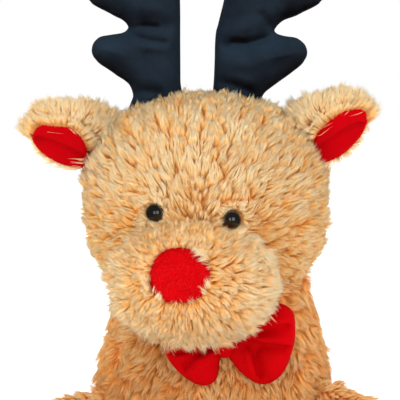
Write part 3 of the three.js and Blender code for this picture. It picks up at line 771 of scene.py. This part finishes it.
def pile(name, cover, count, comb, length, material, keep=everywhere, lean=(38, 76), lean_spread=8, wisp=6,
         tuft=10, gather=(0.3, 0.42), width=0.32 * mm, sway=0.35, tone=0.45, valley_and_painted_shade=0.5, rise=None, stand=None,
         clear=(), off=None, bends=None, seed=1):
    """Strands on a cover, combed by comb and leaning from lean's first angle to its last.

    Each wisp draws together to one of its strands, and each tuft of wisps to one of those.
    """
    chance = np.random.default_rng(seed)
    roots, normals = sampled(cover, count, keep, clear, chance)

    def led_by(members, leaders):
        places = KDTree(len(leaders))
        for i, k in enumerate(leaders):
            places.insert(roots[k], i)
        places.balance()
        return np.array([places.find(roots[k])[1] for k in members])

    everyone = np.arange(count)
    wisp_leaders = chance.choice(count, max(1, count // wisp), replace=False)
    tuft_leaders = wisp_leaders[: max(1, len(wisp_leaders) // tuft)]
    in_wisp = led_by(everyone, wisp_leaders)
    in_tuft = led_by(wisp_leaders, tuft_leaders)[in_wisp]
    apart = norms(roots - roots[tuft_leaders[in_tuft]])
    apart = smoothstep(apart, 0, 1.8 * apart.mean())

    def uneven(weights, shape=()):
        """A random part of each tuft's own, each wisp's own and each strand's own."""
        total = 0
        parts = (len(tuft_leaders), in_tuft), (len(wisp_leaders), in_wisp), (count, everyone)
        for weight, (size, who) in zip(weights, parts):
            total = total + weight * chance.normal(size=(size, *shape))[who].clip(-1.8, 1.8)
        return total

    def laid(ways):
        return unit(ways - (ways * normals).sum(1, keepdims=True) * normals)

    if stand:
        normals = unit(normals + stand(roots))
    swirl = np.stack([ripple(roots, SWIRL, seed + k) for k in range(3)], 1)
    ways = laid(laid(comb(roots, normals)) + sway * (swirl + uneven((0.6, 0.35, 0.2), (3,))))
    lift = lean_spread * uneven((0.8, 0.6, 0.4))
    share = rise(roots) if rise else 1.0
    first, last = (np.radians(np.clip(share * angle + lift, 4, 84))[:, None] for angle in lean)
    start = np.cos(first) * normals + np.sin(first) * ways
    end = np.cos(last) * normals + np.sin(last) * ways
    sizes = (length(roots) if callable(length) else length) * (1 + uneven((0.12, 0.1, 0.05)))
    sizes = sizes * chance.uniform(0.7, 1.1, count) * (1 - 0.4 * valley_and_painted_shade * apart)

    def at(share, who):
        way = share * (1 - share / 2) * start[who] + share**2 / 2 * end[who]
        return roots[who] + sizes[who, None] * way

    path = []
    for share in (0.0, STRAND_MIDDLE, 1.0):
        by_wisp, by_tuft = (pull * share**2 for pull in gather)
        own = at(share, everyone)
        wisps, tufts = at(share, wisp_leaders[in_wisp]), at(share, tuft_leaders[in_tuft])
        path.append((1 - by_wisp - by_tuft) * own + by_wisp * wisps + by_tuft * tufts)
    path = np.stack(path, 1)
    path[:, 0] -= normals * ROOT_DEPTH
    path[:, :, 2] = np.maximum(path[:, :, 2], FLOOR_GAP)
    tones = tone(roots) if callable(tone) else tone
    tones = tones + uneven((0.12, 0.1, 0.13)) + 0.12 * ripple(roots, PATCH, seed + 9)
    # Painted light and shade: the tone rises near each tuft's leader and falls in the valleys between tufts
    tones = np.clip(tones + valley_and_painted_shade * (0.35 - apart), 0, 1)
    widths = width * chance.uniform(0.75, 1.25, count)
    order = np.argsort(np.arctan2(roots[:, 0] - roots[:, 0].mean(), roots[:, 1].mean() - roots[:, 1]))
    if off:
        order = order[off(path[order])]
    pieces = math.ceil(len(order) / PIECE_STRANDS)
    for i, chosen in enumerate(np.array_split(order, pieces)):
        label = name if pieces == 1 else f"{name}_{i}"
        obj = new_object(label, strand_mesh(label, path[chosen], widths[chosen], tones[chosen]), material)
        if bends:
            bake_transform(obj)
        else:
            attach(obj, "torso")


def away_from(centre, lift=(0, 0, 0)):
    """Combs outward from a point, and a little along lift."""
    return lambda points, normals: unit(points - np.array(centre)) + np.array(lift, float)


def toward(direction):
    return lambda points, normals: np.tile(np.array(direction, float), (len(points), 1))


# Nose: a cushion of napped cloth let into the muzzle's front. It swells by its crown and is tucked in at its
# rim.
NOSE_TURN, NOSE_RISE = math.radians(13), math.radians(16)
NOSE_HALF_WIDTH, NOSE_HALF_HEIGHT, NOSE_SQUARENESS = 17.6 * mm, 16.0 * mm, 2.2
NOSE_CROWN, NOSE_TUCK, NOSE_DEPTH = 2.2 * mm, 1.6 * mm, 4.2 * mm
level = np.array((-math.sin(NOSE_TURN), -math.cos(NOSE_TURN), 0))
nose_out = level * math.cos(NOSE_RISE) + np.array((0, 0, math.sin(NOSE_RISE)))
nose_side = np.array((math.cos(NOSE_TURN), -math.sin(NOSE_TURN), 0))
nose_up = np.cross(nose_side, nose_out) * -1
nose_up = nose_up if nose_up[2] > 0 else -nose_up
nose_middle = centre_of("nose_patch")
muzzle_face = tree_of(nodes["muzzle"])


def nose_rim(angle):
    """How far the patch reaches at an angle, as a share of its half sizes."""
    across, over = (abs(part) ** NOSE_SQUARENESS for part in (math.cos(angle), math.sin(angle)))
    uneven = 1 + 0.025 * math.cos(3 * angle + 0.7) + 0.012 * math.sin(5 * angle)
    return (across + over) ** (-1 / NOSE_SQUARENESS) * uneven


def nose_mesh(rings=26, sides=96):
    points, faces = [], []
    for i in range(rings + 1):
        share = i / rings
        for j in range(sides):
            angle = 2 * math.pi * j / sides
            across, over = NOSE_HALF_WIDTH * math.cos(angle), NOSE_HALF_HEIGHT * math.sin(angle)
            flat = nose_middle + nose_rim(angle) * share * (across * nose_side + over * nose_up)
            hit = muzzle_face.ray_cast(Vector(flat + 50 * mm * nose_out), Vector(-nose_out))[0]
            crown = NOSE_CROWN * math.sqrt(max(0.0, 1 - share**4)) - NOSE_TUCK * share**6
            points.append(np.array(hit) + crown * nose_out)
    for j in range(sides):
        points.append(points[rings * sides + j] - NOSE_DEPTH * nose_out)
    points += [np.mean(points[:sides], 0), np.mean(points[-sides:], 0)]
    for i in range(rings + 1):
        for j in range(sides):
            k = (j + 1) % sides
            faces.append((i * sides + j, (i + 1) * sides + j, (i + 1) * sides + k, i * sides + k))
    last = (rings + 1) * sides
    for j in range(sides):
        faces.append((last + j, len(points) - 1, last + (j + 1) % sides))
    bm = bmesh.new()
    bm.from_mesh(mesh_of("nose_form", points, faces))
    bmesh.ops.remove_doubles(bm, verts=bm.verts, dist=0.02 * mm)
    drop_loose(bm)
    bmesh.ops.recalc_face_normals(bm, faces=bm.faces)
    return mesh_from("nose_velour", bm)


nose = dress(new_object("nose_velour", nose_mesh(), "red_velour"), "nose_patch")

# Where the pile lies: it is combed away from the bridge of the nose and from the throat, starts at the eyes'
# rims and leaves each eye's middle free, and is longer by the ears' inner ends, given across and up in
# millimetres
BRIDGE = np.array((-12, -56, 168)) * mm
THROAT = np.array((6, -62, 150)) * mm
EYE_RIM = 4.6 * mm
EYE_SHOWN = {"left": 4.0 * mm, "right": 4.9 * mm}
EAR_ENDS = ((-75, 200), (61, 200))
muzzle_tree, head_tree, body_tree = tree_of(muzzle), tree_of(head_cover), tree_of(body_cover)
eye_roots = [eye - 2.5 * mm * out for eye, out in eyes.values()]


def eye_distance(points):
    return np.min([norms(points - root) for root in eye_roots], axis=0)


def off_eyes(path):
    """Strands that don't pass in front of an eye."""
    free = np.ones(len(path), bool)
    for side, (eye, out) in eyes.items():
        for share in (0.0, 0.5, 1.0, 1.5, 2.0):
            k = min(int(share), 1)
            gap = path[:, k] + (share - k) * (path[:, k + 1] - path[:, k]) - eye
            ahead = gap @ out
            aside = norms(gap - ahead[:, None] * out)
            free &= (aside > EYE_SHOWN[side]) | (np.abs(ahead) > 30 * mm)
    return free


def head_comb(points, normals):
    way = unit(points - BRIDGE) + (0, 0.15, 0.15)
    for eye, _ in eyes.values():
        gap = points - eye
        way += 0.5 * bell(norms(gap), 9 * mm)[:, None] * unit(gap)
    return way


def head_length(points):
    """Short round the eyes, a little shorter low down, and longer beside the ears' inner ends."""
    near = smoothstep(eye_distance(points), 6 * mm, 16 * mm)
    low = smoothstep(points[:, 2], 140 * mm, 160 * mm)
    beside = np.min([norms(points[:, [0, 2]] - end) for end in np.array(EAR_ENDS) * mm], axis=0)
    return (6.0 + 6.5 * near + 4.5 * bell(beside, 13 * mm)) * (0.8 + 0.2 * low) * mm


def head_rise(points):
    return 0.75 + 0.25 * smoothstep(eye_distance(points), 6 * mm, 14 * mm)


def thinner_behind(points):
    return 1 - 0.3 * smoothstep(points[:, 1], 0, 20 * mm)


def head_keep(points, normals):
    return (eye_distance(points) > EYE_RIM) * thinner_behind(points)


def eye_comb(points, normals):
    gaps = np.stack([points - eye for eye, _ in eyes.values()])
    closest = np.argmin(norms(gaps), axis=0)
    return gaps[closest, np.arange(len(points))]


def eye_keep(points, normals):
    """A ring of short pile round each eye."""
    gap = eye_distance(points)
    return (gap > EYE_RIM) * (gap < 9 * mm) + 1e-9


def on_nose(points):
    """Across and up the nose from its middle, in millimetres."""
    gap = points - nose_middle
    return np.stack([gap @ nose_side, gap @ nose_up], 1) / mm


def nose_reach(points):
    flat = np.abs(on_nose(points)) * mm / (NOSE_HALF_WIDTH, NOSE_HALF_HEIGHT)
    ahead = (points - nose_middle) @ nose_out > -20 * mm
    return np.where(ahead, (flat**NOSE_SQUARENESS).sum(1) ** (1 / NOSE_SQUARENESS), 9)


def muzzle_keep(points, normals):
    return (nose_reach(points) > 0.9).astype(float)


def muzzle_length(points):
    return (9.0 + 5.0 * smoothstep(nose_reach(points), 1.1, 2.2)) * mm


# Tufts that fall over the nose: where beside it they stand, and how widely, in millimetres
NOSE_TUFTS = (
    ((15, 12), 3.4), ((10.5, 15), 2.6), ((-17.5, -9), 2.8), ((-11.5, -14.5), 1.8), ((17.5, -8), 1.6),
)


def near_tuft(points):
    place = on_nose(points)
    return np.max([bell(norms(place - middle), reach) for middle, reach in NOSE_TUFTS], axis=0)


def nose_tuft_comb(points, normals):
    return nose_middle - points


def nose_tuft_keep(points, normals):
    reach = nose_reach(points)
    beside = (reach > 0.98) * (reach < 1.14) * (normals @ nose_out > 0.05)
    return (near_tuft(points) + 0.1 * (reach < 1.1)) * beside + 1e-9


def nose_tuft_length(points):
    return (11.0 + 9.5 * near_tuft(points)) * mm


def chin_keep(points, normals):
    """The muzzle's lower edge as seen from the front."""
    return (normals[:, 2] < -0.35) * bell(-normals[:, 1] - 0.15, 0.25) + 1e-9


def muzzle_tone(points):
    return 0.38 + 0.55 * smoothstep(nose_reach(points), 1.3, 2.4)


def head_tone(points):
    near_eye = bell(eye_distance(points), 9 * mm)
    painted_muzzle_shade = bell(nearest(muzzle_tree, points)[1], 14 * mm)
    # Paler higher up, a painted top light; darker beside the muzzle, painted shade; paler round the eyes
    return 0.3 + 0.35 * smoothstep(points[:, 2], 165 * mm, 200 * mm) - 0.25 * painted_muzzle_shade + 0.9 * near_eye


def body_keep(points, normals):
    return (normals[:, 2] > -0.7) * (points[:, 2] > 2 * mm) * thinner_behind(points)


def nap_keep(points, normals):
    return (normals @ nose_out > 0.1).astype(float)


pile("head_pile", head_cover, 128000, head_comb, head_length, "head_pile", head_keep, seed=11, lean=(42, 80),
     sway=0.3, tone=head_tone, rise=head_rise, clear=[(muzzle_tree, 0.0), (body_tree, 0.0)], off=off_eyes)
pile("eye_pile", head_cover, 2600, eye_comb, 5.5 * mm, "head_pile", eye_keep, seed=16, lean=(40, 80),
     lean_spread=6, sway=0.25, tone=0.7, valley_and_painted_shade=0.2, width=0.28 * mm, off=off_eyes)
pile("muzzle_pile", muzzle, 66000, away_from(nose_middle), muzzle_length, "muzzle_pile", muzzle_keep, seed=12,
     lean=(38, 80), lean_spread=9, sway=0.38, tone=muzzle_tone,
     clear=[(head_tree, 1 * mm), (body_tree, 1 * mm)], off=off_eyes)
pile("nose_tufts", muzzle, 820, nose_tuft_comb, nose_tuft_length, "tuft_pile", nose_tuft_keep, seed=14,
     lean=(4, 89), sway=0.6, tone=0.55, width=0.24 * mm, wisp=8, tuft=3, gather=(0.2, 0.12))
pile("chin_strays", muzzle, 1100, away_from(nose_middle, (0, -0.2, -0.4)), 14.5 * mm, "muzzle_pile", chin_keep,
     seed=15, lean=(34, 66), sway=0.25, tone=0.95, width=0.26 * mm, wisp=4, tuft=4, gather=(0.4, 0.2))
pile("body_pile", body_cover, 76000, away_from(THROAT, (0, 0, -0.9)), 12 * mm, "body_pile", body_keep, seed=13,
     lean=(48, 84), sway=0.4, lean_spread=6, clear=[(muzzle_tree, 0.0), (head_tree, 0.0)])

# Ears: their roots, how long their pile is, and how many stray strands hang over the lining
EAR_ROOT, EAR_ROOT_HEIGHT = 36 * mm, 200 * mm
EAR_PILE = {"left": 9.5 * mm, "right": 11 * mm}
EAR_STRAYS = {"left": 14, "right": 5}
CAST = 30 * mm
for i, (side, sign) in enumerate(SIDES.items()):
    lining_tree = tree_of(linings[side])
    lining_middle = centre_of(f"{side}_ear_lining")
    root = np.array((sign * EAR_ROOT, 0, EAR_ROOT_HEIGHT))
    ahead = np.array((sign * 0.2, -1, 0))
    rim_middle = ear_rims[side].mean(0)

    def rim_gap(points):
        return line_gap(points[:, [0, 2]], ear_rims[side])

    def meets_lining(points, way):
        return np.array([lining_tree.ray_cast(Vector(p), Vector(way), CAST)[0] is not None for p in points])

    def ear_comb(points, normals):
        outward = 0.35 * unit(points - root) + unit((points - lining_middle) * (1, 0, 1)) + (0, 0, 0.1)
        behind = unit(points - root) + (0, 0, 0.5)
        return np.where((normals @ ahead < 0)[:, None], behind, outward)

    def ear_stand(points):
        """Near the lining the pile stands out from the ear's flat front."""
        return 1.3 * bell(rim_gap(points), 4 * mm)[:, None] * ahead

    def ear_keep(points, normals):
        facing = normals @ ahead > 0
        edge = (under_fold(points, side) > 1 * mm) & (rim_gap(points) < 4 * mm)
        return ~(facing & meets_lining(points, ahead)) * np.where(edge, np.where(facing, 0.1, 0.5), 1.0)

    def off_lining(path):
        """Strands that don't pass in front of the lining."""
        return ~(meets_lining(path[:, 1], -ahead) | meets_lining(path[:, 2], -ahead))

    def upper_rim(points, normals):
        outer = sign * (points[:, 0] - rim_middle[0]) > -15.5 * mm
        above = under_fold(points, side) < -1 * mm
        return above * (rim_gap(points) < 1.2 * mm) * outer * (normals @ ahead > 0)

    def lower_rim(points, normals):
        return (under_fold(points, side) > 1 * mm) * (rim_gap(points) < 0.9 * mm).astype(float)

    def hung_over(points, normals):
        return upper_rim(points, normals) * (under_fold(points, side) < -4 * mm)

    def flat_on(points):
        """Turns the pile's base to the ear's front, also at the lining's rim."""
        return np.tile(5 * ahead, (len(points), 1))

    outward = away_from((rim_middle[0], lining_middle[1], rim_middle[1]))
    pile(f"{side}_ear_pile", ears[side], 18000, ear_comb, EAR_PILE[side], "ear_pile", ear_keep, seed=20 + i,
         lean=(46, 76), lean_spread=5, sway=0.22, gather=(0.2, 0.22), valley_and_painted_shade=0.2, tone=0.55, stand=ear_stand,
         clear=[(head_tree, 0.5 * mm)], off=off_lining)
    pile(f"{side}_ear_upper_fringe", linings[side], 900, outward, 10.5 * mm, "ear_pile", upper_rim,
         seed=70 + i, lean=(48, 82), sway=0.3, gather=(0.2, 0.22), tone=0.4, stand=flat_on)
    pile(f"{side}_ear_lower_fringe", linings[side], 130, outward, 6.5 * mm, "ear_pile", lower_rim,
         seed=72 + i, lean=(78, 90), sway=0.3, tone=0.85, width=0.26 * mm, stand=flat_on)
    pile(f"{side}_ear_stray_pile", linings[side], EAR_STRAYS[side], toward((-0.8 * sign, 0, -0.4)), 8 * mm,
         "ear_pile", hung_over, seed=74 + i, lean=(62, 88), sway=0.7, tone=0.95, width=0.22 * mm,
         stand=flat_on)
pile("tail_pile", tail, 7000, toward((0, 0.4, -0.8)), 10 * mm, "body_pile", seed=30,
     clear=[(body_tree, 0.5 * mm)])
for i, (limb, (cover, hinge, way)) in enumerate(limbs.items()):
    bends = ("torso", limb, hinge - HINGE_START * way, hinge + HINGE_END * way)
    hoof_tree = tree_of(bpy.data.objects[f"{limb}_hoof_cloth"])
    pile(f"{limb}_pile", cover, 22000 if "leg" in limb else 13000, toward(way - (0, 0, 0.3)), 10 * mm,
         "body_pile", bends=bends, seed=40 + i, clear=[(body_tree, 0.5 * mm), (hoof_tree, 0.5 * mm)])
    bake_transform(cover)
pile("nose_nap", nose, 9000, away_from(nose_middle - 20 * mm * nose_out), 1.4 * mm, "red_pile", nap_keep,
     seed=60, lean=(68, 87), width=0.3 * mm, sway=0.4, gather=(0.1, 0.1), tone=0.5)

# Antlers, bow and eyes. A stuffed piece reaches its full depth a shoulder's width in from its seam, and an
# eye's stem goes in from the middle of its flange.
ANTLER_HALF_DEPTH, ANTLER_SHOULDER = 10.5 * mm, 17 * mm
BOW_HALF_DEPTH, BOW_SHOULDER = 6.6 * mm, 11 * mm
EYE_RADIUS, EYE_DOME, EYE_FLANGE = 5.6 * mm, 4.8 * mm, 0.8 * mm
EYE_STEM, EYE_STEM_LENGTH = 1.6 * mm, 5 * mm
bow_plane = centre_of("bow_knot")[1]
for side in SIDES:
    antler = stuffed_outline(f"{side}_antler_velour", ANTLER_OUTLINES[side], 0.0, ANTLER_HALF_DEPTH,
                             ANTLER_SHOULDER, ANTLER_CREASES[side], "navy_velour")
    dress(antler, f"{side}_antler")
    loop = stuffed_outline(f"bow_{side}_velour", BOW_OUTLINES[side], bow_plane, BOW_HALF_DEPTH, BOW_SHOULDER,
                           BOW_CREASES[side], "red_velour", step=0.8 * mm, folded=True)
    dress(loop, f"bow_{side}_loop")
knot = remeshed("bow_knot_velour", node_mesh("bow_knot"), "red_velour", 0.8 * mm, 6)
dress(knot, "bow_knot")


def eye_mesh(name, place, out, sides=64, rings=14):
    """A dome, its thin flange and a stem, turned about the way out."""
    arc = np.linspace(0, math.pi / 2, rings)[1:]
    profile = [(EYE_RADIUS * math.sin(a), EYE_FLANGE + EYE_DOME * math.cos(a)) for a in arc]
    profile += [(EYE_RADIUS, 0.3 * EYE_FLANGE), (EYE_RADIUS - 0.3 * EYE_FLANGE, 0)]
    profile += [(EYE_STEM, 0), (EYE_STEM, -EYE_STEM_LENGTH)]
    bm = bmesh.new()
    top = bm.verts.new((0, 0, EYE_FLANGE + EYE_DOME))
    foot = bm.verts.new((0, 0, -EYE_STEM_LENGTH))
    turns = [(math.cos(t), math.sin(t)) for t in np.arange(sides) * 2 * math.pi / sides]
    loops = [[bm.verts.new((r * x, r * y, z)) for x, y in turns] for r, z in profile]
    for k in range(sides):
        n = (k + 1) % sides
        bm.faces.new((top, loops[0][k], loops[0][n]))
        bm.faces.new((foot, loops[-1][n], loops[-1][k]))
        for a, b in zip(loops[:-1], loops[1:]):
            bm.faces.new((a[k], b[k], b[n], a[n]))
    turn = Vector(out).to_track_quat("Z", "Y").to_matrix().to_4x4()
    bmesh.ops.transform(bm, matrix=Matrix.Translation(place) @ turn, verts=bm.verts)
    return mesh_from(name, bm)


for side in SIDES:
    # The dome's top stands where the solid's does
    _, out = eyes[side]
    form = mesh_points(nodes[f"{side}_eye"])
    middle = form.mean(0)
    seat = middle + ((form @ out).max() - middle @ out - EYE_DOME - EYE_FLANGE) * out
    eye = new_object(f"{side}_eye_dome", eye_mesh(f"{side}_eye_dome", Vector(seat), out), "eye_plastic")
    dress(eye, f"{side}_eye")
    washer = nodes[f"{side}_eye_washer"]
    washer.data.materials.clear()
    washer.data.materials.append(materials["washer_plastic"])

# Stage: floor, light and camera. The sky's strengths are for light on the pieces and for what they reflect,
# and the bounce is a painted glow that the floor gives off towards the pieces, standing in for light it sends
# back up.
AMBIENT, AMBIENT_SHINE, FLOOR_SHINE = 0.9, 0.1, 0.08
FLOOR_SHOWN, FLOOR_BOUNCE_GLOW = 0.5, 0.6
n = Nodes("floor")
rays = n.add("LightPath").outputs
pale = n.ramp(n.noise(83.3 * mm, 2), (0.3, (0.88,) * 3), (0.7, (0.9,) * 3))
n.link(n.mix(rays["Is Glossy Ray"], pale, (FLOOR_SHINE,) * 3), "Base Color")
n.set(Roughness=0.9, Specular_IOR_Level=0.1, Emission_Color=(1, 1, 1, 1))
shown = n.scaled(rays["Is Camera Ray"], FLOOR_SHOWN)
# The floor glows towards the pieces as well, a painted glow for light bounced up from it
n.link(n.mix(rays["Is Diffuse Ray"], shown, (FLOOR_BOUNCE_GLOW,) * 3), "Emission Strength")
bpy.ops.mesh.primitive_plane_add(size=6)
floor = bpy.context.object
floor.name = "floor"
floor.data.materials.append(n.owner)

studio = Nodes("studio", bpy.data.worlds)
bpy.context.scene.world = studio.owner
rays = studio.add("LightPath").outputs


def sky(strength):
    return studio.add("Background", {"Color": (1, 1, 1, 1), "Strength": strength}).outputs["Background"]


def sky_mix(ray, a, b):
    return studio.add("MixShader", {"Fac": rays[ray], 1: a, 2: b}).outputs["Shader"]


shown = sky_mix("Is Camera Ray", sky_mix("Is Glossy Ray", sky(AMBIENT), sky(AMBIENT_SHINE)), sky(1.0))
studio.tree.links.new(shown, studio.tree.nodes["World Output"].inputs["Surface"])


def aimed(name, data, place):
    """A light or camera that points at what the camera aims at."""
    obj = bpy.data.objects.new(name, data)
    bpy.context.scene.collection.objects.link(obj)
    obj.location = place
    obj.rotation_euler = (AIM - obj.location).to_track_quat("-Z", "Y").to_euler()
    return obj


def softbox(name, place, size, power, shine=True):
    light = bpy.data.lights.new(name, "AREA")
    light.shape = "RECTANGLE"
    light.size, light.size_y = size
    light.energy = power
    aimed(name, light, place).visible_glossy = shine


# Each softbox's place and its width and height in metres, its watts, and whether shiny pieces reflect it
softbox("key", (-0.2, -1.0, 1.1), (0.6, 0.6), 7.2, shine=False)
softbox("fill_left", (-0.35, -1.4, 0.05), (0.4, 1.3), 3.55)
softbox("fill_right", (0.5, -1.3, 0.05), (0.7, 1.5), 5.9)
softbox("side_left", (-1.1, -0.35, 0.2), (0.6, 0.6), 0.4, shine=False)
softbox("side_right", (1.1, -0.35, 0.2), (0.6, 0.6), 2.5, shine=False)

back = Vector((0, -math.cos(CAMERA_ELEVATION), math.sin(CAMERA_ELEVATION)))
camera = bpy.data.cameras.new("camera")
camera.lens = SENSOR_WIDTH * CAMERA_DISTANCE / FRAME_WIDTH
camera.sensor_width = SENSOR_WIDTH
camera.clip_start, camera.clip_end = 0.01, 20
bpy.context.scene.camera = aimed("camera", camera, AIM + CAMERA_DISTANCE * back)
bpy.context.scene.view_settings.view_transform = "Standard"
